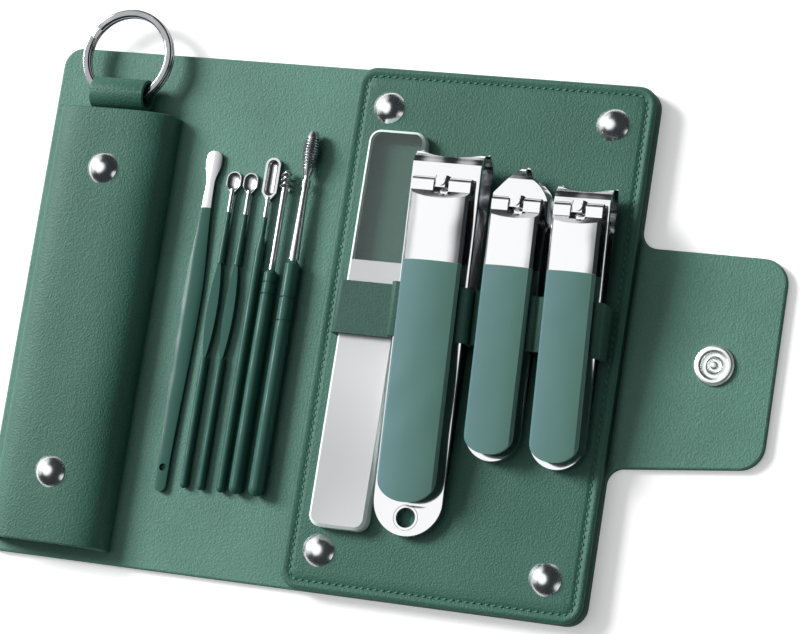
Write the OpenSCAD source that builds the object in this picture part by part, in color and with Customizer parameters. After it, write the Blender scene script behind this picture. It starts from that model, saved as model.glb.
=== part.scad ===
// Folding leather manicure case, lying open with its tools.
// Drawn with the tool panel's left edge at x = 0 and its lower edge at y = 0,
// then moved so that the origin is the middle of the whole set, on the surface it lies on.

/* [Cover] */
// Height of the case, along its fold lines
case_h = 115; // [112:0.5:120]
// Thickness of the cover leather
leather_t = 1.8; // [1.6:0.1:2.2]
// Width of the soft left half, from the panel to its outer edge
left_w = 73.6; // [73.4:0.2:78]
// Distance of the first fold from the panel's left edge
fold_gap = 1.5; // [1.2:0.1:1.8]
// Width of the spine between the two folds, which is the closed case's inner height
spine_w = 28.5; // [28.4:0.1:28.6]
// Radius of the cover's outer corners
cover_r = 4.4; // [2:0.2:6]

/* [Tool panel] */
// Width of the stiff panel that carries the tools
panel_w = 67; // [66:0.5:70]
// Thickness of the panel above the cover
panel_t = 3; // [2.6:0.1:3.6]
// Radius of the panel's corners
panel_r = 4.4; // [3:0.2:6]
// Radius of the panel's padded upper edge
panel_edge_r = 1.2; // [0.6:0.1:1.4]
// Thickness of the stiff board inside the panel
board_t = 1.2; // [0.8:0.1:1.4]
// Width of leather that wraps round the board
board_inset = 2.4; // [1.8:0.2:3.2]

/* [Rivets and snap] */
// Diameter of the domed rivet heads
rivet_d = 7.2; // [5.6:0.2:7.4]
// Height of the domes
rivet_h = 1.7; // [1.2:0.1:2]
// Diameter of a rivet's shank
shank_d = 2.2; // [1.8:0.1:2.6]
// Distance of the panel's left rivets from its left side
rivet_left = 7.3; // [7:0.1:8.5]
// Distance of the panel's right rivets from its right side
rivet_right = 9; // [7:0.1:10]
// Distance of the panel's rivets from its ends
rivet_in_y = 8.9; // [7:0.1:10]
// Diameter of the snap
snap_d = 8.6; // [8:0.2:9.6]
// Distance of the snap from the panel's right edge
snap_out = 19.5; // [17:0.5:22]
// Distance of the snap's stud from the fold beside the left half
stud_out = 36.4; // [30:0.2:38]

/* [Flap] */
// Length of the flap beyond the panel's right edge
flap_len = 32.4; // [31:0.2:34]
// Height of the flap at its root
flap_h = 53.4; // [50:0.2:56]
// Height of the flap's lower edge above the case's lower edge
flap_y = 30.8; // [28:0.2:33]
// Rise of the flap's lower edge towards its end
flap_taper = 2.4; // [1:0.2:4]
// Radius of the flap's outer corners
flap_r = 5.4; // [4:0.2:7]
// Distance of the flap's fold from the panel's right edge
flap_gap = 2; // [1.9:0.1:2.4]
// Radius of the fillets at the flap's root
root_r = 3.6; // [2:0.2:5]

/* [Sleeve and key ring] */
// Width of the leather sleeve
sleeve_w = 28; // [27:0.2:30]
// Height of the sleeve above the cover
sleeve_h = 7.2; // [6.8:0.1:7.8]
// Thickness of the sleeve's leather
sleeve_t = 1.4; // [1:0.1:1.6]
// Radius of the sleeve's shoulders
sleeve_r = 5.2; // [4:0.2:5.6]
// Distance of the sleeve from the cover's outer edge
sleeve_in = 3.4; // [3:0.1:4]
// Distance of the sleeve's open lower end from the cover's lower edge
sleeve_y = 2.6; // [2:0.2:4]
// Distance of the sleeve's upper end from the cover's upper edge
sleeve_top = 14.8; // [14:0.2:18]
// Distance of the sleeve's lower rivet from its lower end
sleeve_rivet_low = 15.5; // [10:0.5:20]
// Distance of the sleeve's upper rivet from its upper end
sleeve_rivet_high = 13.7; // [10:0.1:20]
// Width of the strap that holds the key ring
ring_strap_w = 13; // [11:0.2:13.4]
// Thickness of that strap's leather
ring_strap_t = 0.9; // [0.7:0.1:1.1]
// Outer diameter of the key ring
ring_d = 21.8; // [21:0.2:23]
// Width of the ring's wire
ring_wire = 1.8; // [1.6:0.1:2]
// Height of one turn of the ring's wire
ring_turn_h = 1.15; // [1:0.05:1.2]

/* [Tool strap] */
// Width of the leather band over the tools
strap_w = 11.5; // [9:0.5:13]
// Distance of the band's lower edge from the case's lower edge
strap_y = 55.2; // [54:0.2:57]
// Thickness of the band
strap_t = 1; // [0.9:0.05:1.05]
// Clearance between the band and what slides in it
strap_clear = 0.35; // [0.3:0.05:0.35]

/* [Glass file] */
// Width of the glass file
file_w = 13; // [11:0.2:13]
// Room between the file's lower end and the lower corner rivet
file_low_gap = 1.2; // [0.6:0.1:2]
// Room between the file's upper end and the upper corner rivet
file_high_gap = 2; // [1.8:0.1:6]
// Thickness of the glass file
file_t = 3; // [2.4:0.1:3.4]
// Distance of the file from the panel's left edge
file_x = 4.9; // [4.8:0.1:5.1]
// Width of the file's ground bevel
file_bevel = 0.6; // [0.4:0.1:1.2]
// Radius of the file's corners
file_r = 2.6; // [1.6:0.2:4]

/* [Clippers] */
// Thickness of the clippers' sheet steel
arm_t = 1.1; // [1:0.05:1.2]
// Angle at which the upper arms rise from their tails
slot_tilt = 6.56; // [6.2:0.02:6.8]
// Opening between the cutting edges
jaw_gap = 2.2; // [1.8:0.1:2.4]
// Height of the gap between a stowed lever and the upper arm
lever_gap = 2.2; // [2.15:0.05:2.3]
// Thickness of a lever at its edges
lever_t = 1.3; // [1.1:0.1:1.5]
// Diameter of a pin's shaft
pin_d = 2.4; // [2:0.1:2.6]
// Diameter of the trunnions on which a lever turns
trunnion_d = 1.2; // [1:0.05:1.3]
// Radial running clearance of the levers on their trunnions
trunnion_clear = 0.06; // [0.04:0.01:0.09]
// Diameter of the hollow tail rivets' bore
eyelet_d = 4.3; // [3.6:0.1:4.6]
// Large clipper: length
large_len = 81.6; // [79:0.2:83]
// Large clipper: width of the arms
large_w = 15.3; // [14.8:0.1:15.4]
// Large clipper: width of the lever
large_lever_w = 13.1; // [12:0.1:13.4]
// Large clipper: distance of its middle from the panel's left edge
large_x = 26.4; // [26.4:0.05:26.6]
// Large clipper: height of its tail above the case's lower edge
large_y = 13.9; // [12:0.5:15]
// Large clipper: distance of the pin from the cutting edge
large_pin = 7.3; // [6.5:0.1:8]
// Large clipper: distance of the lever's end from the tail
large_lever_end = 7; // [6.9:0.1:9]
// Diagonal clipper: length
diagonal_len = 62.2; // [61:0.2:63]
// Diagonal clipper: width of the arms
diagonal_w = 12; // [11.6:0.1:12.1]
// Diagonal clipper: width of the lever
diagonal_lever_w = 10.7; // [10:0.1:10.8]
// Diagonal clipper: distance of its middle from the panel's left edge
diagonal_x = 42.65; // [42.6:0.05:42.7]
// Diagonal clipper: height of its tail above the case's lower edge
diagonal_y = 31.7; // [30:0.5:33]
// Diagonal clipper: distance of the pin from the cutting tip
diagonal_pin = 8.1; // [8:0.1:9]
// Small clipper: length
small_len = 59.5; // [58:0.1:60]
// Small clipper: width of the arms
small_w = 12.2; // [11.8:0.1:12.3]
// Small clipper: width of the lever
small_lever_w = 10.6; // [10:0.1:10.8]
// Small clipper: distance of its tail's middle from the panel's left edge
small_x = 57.1; // [57:0.05:57.2]
// Small clipper: height of its tail above the case's lower edge
small_y = 31.5; // [30:0.5:33]
// Small clipper: turn in its loop of the band, head to the left
small_turn = 0.8; // [0.6:0.1:1.3]
// Small clipper: distance of the pin from the cutting edge
small_pin = 5.2; // [5:0.1:6]
// Small and diagonal clippers: distance of the lever's end from the tail
lever_end = 1.3; // [1:0.1:2]

/* [Ear tools] */
// Height of the tools' lower ends above the case's lower edge
tools_y = 18.6; // [17:0.2:20]
// Clearance between a tool and the leather under it
tool_rest = 0.1; // [0.05:0.05:0.2]
// Spatula: length
spatula_len = 75; // [72:0.5:77]
// Spatula: greatest width
spatula_w = 4.4; // [4:0.1:4.4]
// Spatula: distance of its middle from the panel
spatula_x = 32.45; // [32.4:0.05:32.6]
// Small scoops: length
scoop_len = 70.8; // [68:0.2:72]
// Small scoops: width of the cup
scoop_w = 3.4; // [2.8:0.1:3.4]
// Small scoops: length of the cup
scoop_cup = 4.6; // [4.2:0.1:5]
// Small scoops: width of the flattened grip
scoop_grip_w = 2.3; // [2:0.1:2.3]
// Left scoop: distance of its middle from the panel
scoop_left_x = 26.9; // [26.8:0.05:26.95]
// Right scoop: distance of its middle from the panel
scoop_right_x = 22.9; // [22.6:0.1:23]
// Spoon: length
spoon_len = 74.6; // [72:0.2:76]
// Spoon: width of the bowl
spoon_w = 3.5; // [3:0.1:3.6]
// Spoon: length of the bowl
spoon_bowl = 9.4; // [8:0.2:11]
// Spoon: distance of its middle from the panel
spoon_x = 18.1; // [17.9:0.1:18.3]
// Screw pick: length
screw_len = 71.6; // [69:0.2:73]
// Screw pick: diameter of the handle
screw_d = 3; // [2.6:0.1:3]
// Screw pick: distance of its middle from the panel
screw_x = 14.4; // [14.2:0.1:14.5]
// Ribbed pick: length
ribbed_len = 81; // [79:0.2:83]
// Ribbed pick: diameter of the handle
ribbed_d = 3.3; // [2.8:0.1:3.6]
// Ribbed pick: width of the ribbed head
ribbed_head_w = 3.8; // [3:0.1:4]
// Ribbed pick: distance of its middle from the panel
ribbed_x = 9.5; // [9.3:0.1:9.7]

/* [Hidden] */
$fn = 64;

leather = "#4d7a6b";
leather_dark = "#456d60";
chrome = "#d6d8da";
enamel = "#5d8580";
glass = "#9fb5b0";
board = "#8a7a62";

// A cut runs this far past the faces it opens
over = 1;
// Clearance of a post or a plate in its own piece's seat
seat = 0.05;

fold_x = -fold_gap;
fold2_x = fold_x - spine_w;
panel_top = leather_t + panel_t;
flap_fold_x = panel_w + flap_gap;
flap_end = panel_w + flap_len;
snap_x = panel_w + snap_out;
snap_y = flap_y + flap_h / 2;
sleeve_x = -left_w + sleeve_in;
sleeve_mid_x = sleeve_x + sleeve_w / 2;
sleeve_len = case_h - sleeve_top - sleeve_y;
file_y = rivet_in_y + rivet_d / 2 + file_low_gap;
file_len = case_h - rivet_in_y - rivet_d / 2 - file_high_gap - file_y;

// The roll that carries the key ring lies just above the sleeve's upper end.
// Its bore clears the ring's wire, which curves inside it, at every angle.
ring_mid_r = (ring_d - ring_wire) / 2;
ring_inner_y = sqrt(pow(ring_d / 2 - ring_wire, 2) - pow(ring_strap_w / 2, 2));
roll_clear = 0.2;
roll_in = sqrt(pow((ring_d / 2 - ring_inner_y) / 2, 2) + pow(ring_turn_h, 2)) + roll_clear;
roll_out = roll_in + ring_strap_t;
roll_y = sleeve_y + sleeve_len + 0.3 + roll_out;
roll_z = leather_t + roll_out;
ring_mid_y = roll_y + (ring_d / 2 + ring_inner_y) / 2;

mid_x = (flap_end - left_w) / 2;
mid_y = (ring_mid_y + ring_d / 2) / 2;

// Geometry that the three clippers share
tail_flat = 6.6;
eyelet_wall = 0.5;
eyelet_y = 3.9;
jaw_len = 3.6;
jaw_drop = 2.2;
edge_t = 0.35;
lower_reach = 0.6;
foot_h = 0.9;
foot_gap = 0.3;
foot_d = 5;
barrel_r = 1.1;
barrel_up = barrel_r + 0.15;
head_x = 3;
head_y = 2.6;
head_up = 1.5;
slot_clear = 0.2;
pad_front = 3.5;
pad_step = 1.6;
lever_round = 0.38;
lever_bevel = 0.45;
crown = 0.35;
crown_r = 22;

// Clipper: length, arm width, lever width, pin from the edge, lever end, x, y, turn, slanted jaw
LARGE = [large_len, large_w, large_lever_w, large_pin, large_lever_end, large_x, large_y, 0, false];
DIAGONAL = [diagonal_len, diagonal_w, diagonal_lever_w, diagonal_pin, lever_end,
            diagonal_x, diagonal_y, 0, true];
SMALL = [small_len, small_w, small_lever_w, small_pin, lever_end, small_x, small_y, small_turn, false];
function c_len(c) = c[0];
function c_w(c) = c[1];
function c_lever_w(c) = c[2];
function c_pin(c) = c[0] - c[3];
function c_lever_end(c) = c[4];
function c_slanted(c) = c[8];
// Height of the upper arm's top above the panel, at a distance from the tail
function arm_top(y) = 2 * arm_t + tan(slot_tilt) * max(0, y - tail_flat);
function jaw_y(c) = c_len(c) - jaw_len;
function edge_z(c) = arm_top(jaw_y(c)) - jaw_drop;
function axis_z(c) = arm_top(c_pin(c)) + barrel_up;
function arm_lift() = foot_gap + foot_h + 0.1;

module case_frame() {
    translate([-mid_x, -mid_y, 0]) children();
}

module rounded_rect(w, h, r) {
    translate([r, 0]) square([w - 2 * r, h]);
    translate([0, r]) square([w, h - 2 * r]);
    for (x = [r, w - r], y = [r, h - r]) translate([x, y]) circle(r);
}

// A plate whose upper edge is rounded all round, from a corner at the origin
module padded_plate(w, h, t, r, e) {
    linear_extrude(t - e) rounded_rect(w, h, r);
    translate([e, e, 0]) linear_extrude(t) rounded_rect(w - 2 * e, h - 2 * e, r - e);
    for (x = [e, w - e]) translate([x, r, t - e]) rotate([-90, 0, 0]) cylinder(r = e, h = h - 2 * r);
    for (y = [e, h - e]) translate([r, y, t - e]) rotate([0, 90, 0]) cylinder(r = e, h = w - 2 * r);
    for (x = [r, w - r], y = [r, h - r])
        translate([x, y, t - e]) rotate_extrude() translate([r - e, 0]) circle(e);
}

// Domed cap standing on z = 0
module dome(d, h) {
    ball_r = (pow(d / 2, 2) + pow(h, 2)) / (2 * h);
    intersection() {
        translate([0, 0, h - ball_r]) sphere(ball_r);
        cylinder(d = d, h = h + over);
    }
}

module panel_rivet_places() {
    for (x = [rivet_left, panel_w - rivet_right], y = [rivet_in_y, case_h - rivet_in_y])
        translate([x, y, 0]) children();
}

module sleeve_rivet_places() {
    for (y = [sleeve_rivet_low, sleeve_len - sleeve_rivet_high])
        translate([sleeve_mid_x, sleeve_y + y, 0]) children();
}

// Cover

washer_d = 5;
washer_t = 0.5;

module cover_right() {
    color(leather) case_frame() difference() {
        union() {
            linear_extrude(leather_t) intersection() {
                translate([fold_x - cover_r, 0]) rounded_rect(panel_w - fold_x + cover_r, case_h, cover_r);
                translate([fold_x, 0]) square([panel_w - fold_x, case_h]);
            }
            translate([panel_w - over, flap_y - root_r, 0]) cube([flap_gap + over, flap_h + 2 * root_r, leather_t]);
        }
        for (y = [flap_y - root_r, flap_y + flap_h + root_r])
            translate([panel_w + root_r, y, -over]) cylinder(r = root_r, h = leather_t + 2 * over);
        panel_rivet_places() translate([0, 0, leather_t - washer_t - seat])
            cylinder(d = washer_d + 2 * seat, h = washer_t + over);
    }
}

module cover_spine() {
    color(leather) case_frame() translate([fold2_x, 0, 0]) cube([spine_w, case_h, leather_t]);
}

stud_x = fold2_x - stud_out;
stud_t = 0.9;

module cover_left() {
    color(leather) case_frame() difference() {
        linear_extrude(leather_t) intersection() {
            translate([-left_w, 0]) rounded_rect(left_w + fold2_x + cover_r, case_h, cover_r);
            translate([-left_w, 0]) square([left_w + fold2_x, case_h]);
        }
        translate([stud_x, snap_y, -over]) cylinder(d = snap_d + 2 * seat, h = stud_t + seat + over);
    }
}

module flap_outline() {
    low = flap_y + flap_taper;
    high = flap_y + flap_h;
    polygon([[flap_fold_x, flap_y], [flap_end - flap_r, low], [flap_end, low + flap_r],
             [flap_end, high - flap_r], [flap_end - flap_r, high], [flap_fold_x, high]]);
    for (y = [low + flap_r, high - flap_r]) translate([flap_end - flap_r, y]) circle(flap_r);
    fillet = root_r - flap_gap;
    difference() {
        translate([flap_fold_x, flap_y - root_r]) square([fillet, flap_h + 2 * root_r]);
        for (y = [flap_y - root_r, flap_y + flap_h + root_r]) translate([panel_w + root_r, y]) circle(root_r);
    }
}

cap_d = snap_d + 0.8;
cap_t = 0.6;
stem_d = 2;

module cover_flap() {
    color(leather) case_frame() difference() {
        linear_extrude(leather_t) flap_outline();
        translate([snap_x, snap_y, -over]) cylinder(d = cap_d + 2 * seat, h = cap_t + seat + over);
        translate([snap_x, snap_y, -over]) cylinder(d = stem_d + 2 * seat, h = leather_t + 2 * over);
        translate([snap_x, snap_y, leather_t - washer_t]) cylinder(d = snap_d + 2 * seat, h = over);
    }
}

// Tool panel

module panel_skin() {
    color(leather_dark) case_frame() translate([0, 0, leather_t]) difference() {
        padded_plate(panel_w, case_h, panel_t, panel_r, panel_edge_r);
        translate([board_inset - seat, board_inset - seat, -over])
            cube([panel_w - 2 * (board_inset - seat), case_h - 2 * (board_inset - seat), board_t + seat + over]);
        panel_rivet_places() translate([0, 0, -over]) cylinder(d = shank_d + 2 * seat, h = panel_t + 2 * over);
    }
}

module panel_board() {
    color(board) case_frame() translate([0, 0, leather_t]) difference() {
        translate([board_inset, board_inset, 0])
            cube([panel_w - 2 * board_inset, case_h - 2 * board_inset, board_t]);
        panel_rivet_places() translate([0, 0, -over]) cylinder(d = shank_d + 2 * seat, h = board_t + 2 * over);
    }
}

module panel_rivets() {
    color(chrome) case_frame() panel_rivet_places() {
        translate([0, 0, panel_top]) dome(rivet_d, rivet_h);
        translate([0, 0, leather_t - washer_t]) cylinder(d = shank_d, h = panel_t + washer_t + over / 2);
        translate([0, 0, leather_t - washer_t]) cylinder(d = washer_d, h = washer_t);
    }
}

// Section of one loop of the band round something w wide, whose top is at y = 0
module loop_outer(w) {
    half = w / 2 + strap_clear + strap_t;
    top = strap_clear + strap_t;
    corner = strap_t + 0.3;
    translate([-half, -over * 20]) square([2 * half, top - corner + over * 20]);
    translate([-half + corner, top - corner]) square([2 * (half - corner), corner]);
    for (side = [-1, 1]) translate([side * (half - corner), top - corner]) circle(corner);
}

module loop_inner(w) {
    translate([-w / 2 - strap_clear, -over * 20]) square([w + 2 * strap_clear, strap_clear + over * 20]);
}

// Places a section across the clipper's slot, tilted as the slot is
module along_slot(c) {
    translate([c[5], c[6], panel_top]) rotate([0, 0, c[7]])
        translate([0, tail_flat, 2 * arm_t]) rotate([slot_tilt, 0, 0]) rotate([90, 0, 0])
            translate([0, 0, -c_len(c)]) linear_extrude(c_len(c)) children();
}

module along_file() {
    translate([file_x + file_w / 2, file_y + file_len, panel_top + file_t])
        rotate([90, 0, 0]) linear_extrude(file_len) children();
}

module tool_strap() {
    color(leather) case_frame() difference() {
        intersection() {
            union() {
                along_file() loop_outer(file_w);
                for (c = [LARGE, DIAGONAL, SMALL]) along_slot(c) loop_outer(c_w(c));
            }
            translate([0, strap_y, panel_top]) cube([panel_w, strap_w, panel_w]);
        }
        along_file() loop_inner(file_w);
        // The file's loop opens into the large clipper's, with no wall between them
        translate([file_x + file_w, file_y, panel_top - over])
            cube([large_x - large_w / 2 - file_x - file_w, file_len, file_t + strap_clear + over]);
        for (c = [LARGE, DIAGONAL, SMALL]) along_slot(c) loop_inner(c_w(c));
    }
}

// Sleeve, key ring and snap

module sleeve_section(w, h, r) {
    intersection() {
        translate([-w / 2, 0]) square([w, h]);
        union() {
            translate([-w / 2, 0]) square([w, h - r]);
            translate([-w / 2 + r, 0]) square([w - 2 * r, h]);
            for (side = [-1, 1]) translate([side * (w / 2 - r), h - r]) circle(r);
        }
    }
}

module sleeve() {
    color(leather_dark) case_frame() difference() {
        translate([sleeve_mid_x, sleeve_y + sleeve_len, leather_t]) rotate([90, 0, 0])
            linear_extrude(sleeve_len) sleeve_section(sleeve_w, sleeve_h, sleeve_r);
        translate([sleeve_mid_x, sleeve_y + sleeve_len + over, leather_t]) rotate([90, 0, 0])
            linear_extrude(sleeve_len + 2 * over)
                sleeve_section(sleeve_w - 2 * sleeve_t, sleeve_h - sleeve_t, sleeve_r - sleeve_t);
        sleeve_rivet_places() cylinder(d = shank_d + 2 * seat, h = leather_t + sleeve_h + over);
    }
}

module sleeve_rivets() {
    top = leather_t + sleeve_h;
    color(chrome) case_frame() sleeve_rivet_places() {
        translate([0, 0, top]) dome(rivet_d, rivet_h);
        translate([0, 0, top - sleeve_t - washer_t]) cylinder(d = shank_d, h = sleeve_t + washer_t + over / 2);
        translate([0, 0, top - sleeve_t - washer_t]) cylinder(d = washer_d, h = washer_t);
    }
}

ring_tab = 9.5;

module ring_strap() {
    color(leather) case_frame() translate([sleeve_mid_x + ring_strap_w / 2, 0, 0])
        rotate([90, 0, -90]) linear_extrude(ring_strap_w) difference() {
            union() {
                translate([-roll_y, roll_z]) circle(roll_out);
                translate([-roll_y, leather_t]) square([ring_tab, 2 * ring_strap_t]);
            }
            translate([-roll_y, roll_z]) circle(roll_in);
        }
}

ring_split = 2.4;

module ring_turn(z) {
    edge = 0.5;
    translate([0, 0, z]) rotate_extrude() translate([ring_mid_r - ring_wire / 2, 0])
        rounded_rect(ring_wire, ring_turn_h, edge);
}

// Two turns of wire, pressed together, with the upper turn's end cut short
module key_ring() {
    color(chrome) case_frame() translate([sleeve_mid_x, ring_mid_y, roll_z]) {
        ring_turn(-ring_turn_h);
        difference() {
            ring_turn(0);
            rotate([0, 0, 150]) translate([0, -ring_split / 2, 0]) cube([ring_d, ring_split, ring_d]);
        }
    }
}

module snap_socket() {
    rise = 0.9;
    floor_z = 0.2;
    section = [[0, -washer_t], [snap_d / 2, -washer_t], [snap_d / 2, 0.5], [snap_d / 2 - 0.25, 0.78],
               [snap_d / 2 - 0.6, rise], [snap_d / 2 - 1.1, rise], [snap_d / 2 - 1.5, 0.7],
               [snap_d / 2 - 1.7, floor_z], [2, floor_z], [1.85, 0.55], [1.65, 0.68], [1.45, 0.6],
               [1.25, floor_z], [0.85, floor_z], [0.78, 0.5], [0.5, 0.72], [0, 0.8]];
    color(chrome) case_frame() translate([snap_x, snap_y, leather_t]) rotate_extrude() polygon(section);
}

module snap_cap() {
    color(chrome) case_frame() translate([snap_x, snap_y, 0]) {
        cylinder(d = cap_d, h = cap_t);
        cylinder(d = stem_d, h = leather_t - washer_t);
    }
}

module snap_stud() {
    color(chrome) case_frame() translate([stud_x, snap_y, 0]) difference() {
        cylinder(d = snap_d, h = stud_t);
        translate([0, 0, -over]) cylinder(d = snap_d / 2, h = stud_t / 2 + over);
    }
}

// Glass file

// Plate whose upper edge is bevelled, from a corner at the origin
module bevelled_plate(w, h, t, r, b) {
    linear_extrude(t - b) rounded_rect(w, h, r);
    translate([0, h - r, t - b]) rotate([90, 0, 0])
        linear_extrude(h - 2 * r) polygon([[0, 0], [w, 0], [w - b, b], [b, b]]);
    translate([r, 0, t - b]) rotate([90, 0, 90])
        linear_extrude(w - 2 * r) polygon([[0, 0], [h, 0], [h - b, b], [b, b]]);
    for (x = [r, w - r], y = [r, h - r]) translate([x, y, t - b]) cylinder(r1 = r, r2 = r - b, h = b);
}

module glass_file() {
    color(glass) case_frame() translate([file_x, file_y, panel_top])
        bevelled_plate(file_w, file_len, file_t, file_r, file_bevel);
}

// Clippers, each in its own frame: y from the tail to the cutting edge, z = 0 on the panel

module clipper_frame(c) {
    case_frame() translate([c[5], c[6], panel_top]) rotate([0, 0, c[7]]) children();
}

// Points from one place to another along a curve that swells out to the right by a named amount
function bulge(from, to, swell, steps) =
    let (way = to - from, out = [way[1], -way[0]] / norm(way))
    [for (i = [0:steps]) let (t = i / steps) from + way * t + out * (4 * swell * t * (1 - t))];

// Outline of both arms seen from above: round tail, and a hollow or slanted front
module arm_plan(c, reach) {
    w = c_w(c);
    len = c_len(c) + reach;
    hollow = 1.4;
    hollow_w = w + 0.6;
    hollow_r = pow(hollow_w, 2) / (8 * hollow) + hollow / 2;
    difference() {
        union() {
            translate([0, w / 2]) circle(d = w);
            if (c_slanted(c)) {
                tip = [-0.5, len];
                heel = [0.6, len - 2.1];
                shoulder = [w / 2, len - 6.9];
                low_end = [-w / 2, len - 6.2];
                polygon(concat([[-w / 2, w / 2], [w / 2, w / 2]], bulge(shoulder, heel, 0.8, 10),
                               [[0, len - 0.2], tip, low_end]));
            } else {
                translate([-w / 2, w / 2]) square([w, len - w / 2]);
            }
        }
        if (!c_slanted(c)) translate([0, len - hollow + hollow_r]) circle(hollow_r);
    }
}

// Side view of one face of a jaw, which curves from a level start to its edge
jaw_turn = 60;
function bend(y, from_z, to_z, reach) =
    [for (a = [0:10:jaw_turn])
        [y + reach * sin(a) / sin(jaw_turn), from_z + (to_z - from_z) * (1 - cos(a)) / (1 - cos(jaw_turn))]];
function backwards(list) = [for (i = [len(list) - 1:-1:0]) list[i]];

module side_view(c) {
    rotate([90, 0, 90]) translate([0, 0, -c_w(c)]) linear_extrude(2 * c_w(c)) children();
}

module upper_arm(c) {
    y = jaw_y(c);
    z = edge_z(c);
    color(chrome) clipper_frame(c) difference() {
        intersection() {
            side_view(c) polygon(concat(
                [[0, arm_t], [0, 2 * arm_t], [tail_flat, 2 * arm_t]],
                bend(y, z + jaw_drop, z, jaw_len),
                backwards(bend(y, z + jaw_drop - arm_t, z, jaw_len - edge_t)),
                [[tail_flat, arm_t]]));
            linear_extrude(c_len(c)) arm_plan(c, 0);
        }
        translate([0, eyelet_y, 0]) cylinder(d = eyelet_d + 2 * (eyelet_wall + 0.1), h = 3 * arm_t);
        translate([0, c_pin(c), 0]) cylinder(d = pin_d + 1, h = c_len(c));
    }
}

module lower_arm(c) {
    y = jaw_y(c);
    z = edge_z(c) - jaw_gap;
    rise = arm_lift();
    flat = c_len(c) * 0.55;
    up = c_pin(c) - foot_d / 2 - 1;
    reach = jaw_len + lower_reach;
    color(chrome) clipper_frame(c) difference() {
        intersection() {
            side_view(c) polygon(concat(
                [[0, 0], [0, arm_t], [flat, arm_t], [up, rise + arm_t]],
                bend(y, rise + arm_t, z, reach - edge_t),
                backwards(bend(y, rise, z, reach)),
                [[up, rise], [flat, 0]]));
            linear_extrude(c_len(c)) arm_plan(c, lower_reach);
        }
        translate([0, eyelet_y, -over]) cylinder(d = eyelet_d + 2 * (eyelet_wall + seat), h = arm_t + 2 * over);
        translate([0, c_pin(c), -over]) cylinder(d = pin_d + 2 * seat, h = c_len(c));
    }
}

module eyelet(c) {
    color(chrome) clipper_frame(c) translate([0, eyelet_y, 0]) difference() {
        cylinder(d = eyelet_d + 2 * eyelet_wall, h = 2 * arm_t);
        translate([0, 0, -over]) cylinder(d = eyelet_d, h = 2 * arm_t + 2 * over);
    }
}

module pin_post(c) {
    z = axis_z(c);
    notch = 0.7;
    span = c_lever_w(c) - 1.4;
    color(chrome) clipper_frame(c) translate([0, c_pin(c), 0]) {
        translate([0, 0, foot_gap]) cylinder(d = foot_d, h = foot_h);
        translate([0, 0, foot_gap]) cylinder(d = pin_d, h = z - foot_gap);
        difference() {
            translate([-head_x / 2, -head_y / 2, z - barrel_up + 0.15])
                cube([head_x, head_y, barrel_up + head_up - 0.15]);
            for (side = [-1, 1]) translate([side * head_x / 2, 0, z + head_up])
                rotate([0, 45, 0]) cube([notch, head_y + over, notch], center = true);
        }
        translate([0, 0, z]) cylinder(d = pin_d - 0.4, h = head_up + 0.4);
        translate([-span / 2, 0, z]) rotate([0, 90, 0]) cylinder(d = trunnion_d, h = span);
    }
}

// Drawn along the slot, with its own axis of turning at y = 0 and z = 0
module lever(c) {
    w = c_lever_w(c);
    len = (c_pin(c) - c_lever_end(c)) / cos(slot_tilt);
    end_len = lever_round * w;
    step_y = -pad_front + pad_step;
    under = lever_gap - barrel_up * cos(slot_tilt);
    top = under + lever_t;
    edge_top = top + crown - pow(w / 2, 2) / (2 * crown_r);
    slot_back = sqrt(pow(head_y / 2, 2) + pow(head_up + 0.4, 2)) + slot_clear;
    color(enamel) clipper_frame(c) translate([0, c_pin(c), axis_z(c)]) rotate([slot_tilt, 0, 0])
        difference() {
            union() {
                intersection() {
                    translate([0, 0, under]) linear_extrude(lever_t + 2 * crown)
                        polygon(concat([[w / 2, step_y], [-w / 2, step_y]],
                                       [for (a = [180:-7.5:0])
                                           [w / 2 * cos(a), -len + end_len * (1 - sin(a))]]));
                    translate([0, over, top + crown - crown_r]) rotate([90, 0, 0])
                        cylinder(r = crown_r, h = len + 2 * over, $fn = 360);
                }
                rotate([90, 0, 90]) translate([0, 0, -w / 2]) linear_extrude(w)
                    polygon([[step_y - 1, under], [step_y - 1, barrel_r], [0, barrel_r], [0, -0.5], [step_y, 0]]);
                translate([-w / 2, 0, 0]) rotate([0, 90, 0]) cylinder(r = barrel_r, h = w);
            }
            translate([-w, 0, 0]) rotate([0, 90, 0]) cylinder(d = trunnion_d + 2 * trunnion_clear, h = 2 * w);
            rotate([90, 0, 90]) translate([0, 0, -w]) linear_extrude(2 * w)
                polygon([[-pad_front, top + crown], [step_y, barrel_r], [step_y + over, barrel_r],
                         [step_y + over, top + crown + over], [-pad_front, top + crown + over]]);
            for (side = [-1, 1]) translate([side * w / 2, over, edge_top - lever_bevel]) rotate([0, side * 45, 0])
                translate([-w / 2, -len - 2 * over, 0]) cube([w, len + 3 * over, w]);
            translate([-head_x / 2 - slot_clear, -slot_back, -2 * barrel_r])
                cube([head_x + 2 * slot_clear, 2 * slot_back, 4 * barrel_r + top]);
        }
}

module large_lower_arm() { lower_arm(LARGE); }
module large_upper_arm() { upper_arm(LARGE); }
module large_eyelet() { eyelet(LARGE); }
module large_pin_post() { pin_post(LARGE); }
module large_lever() { lever(LARGE); }
module diagonal_lower_arm() { lower_arm(DIAGONAL); }
module diagonal_upper_arm() { upper_arm(DIAGONAL); }
module diagonal_eyelet() { eyelet(DIAGONAL); }
module diagonal_pin_post() { pin_post(DIAGONAL); }
module diagonal_lever() { lever(DIAGONAL); }
module small_lower_arm() { lower_arm(SMALL); }
module small_upper_arm() { upper_arm(SMALL); }
module small_eyelet() { eyelet(SMALL); }
module small_pin_post() { pin_post(SMALL); }
module small_lever() { lever(SMALL); }

// Ear tools, each drawn from its lower end along y, with z = 0 on the leather

module tool_frame(x, z) {
    case_frame() translate([-x, tools_y, leather_t + tool_rest + z]) children();
}

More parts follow.
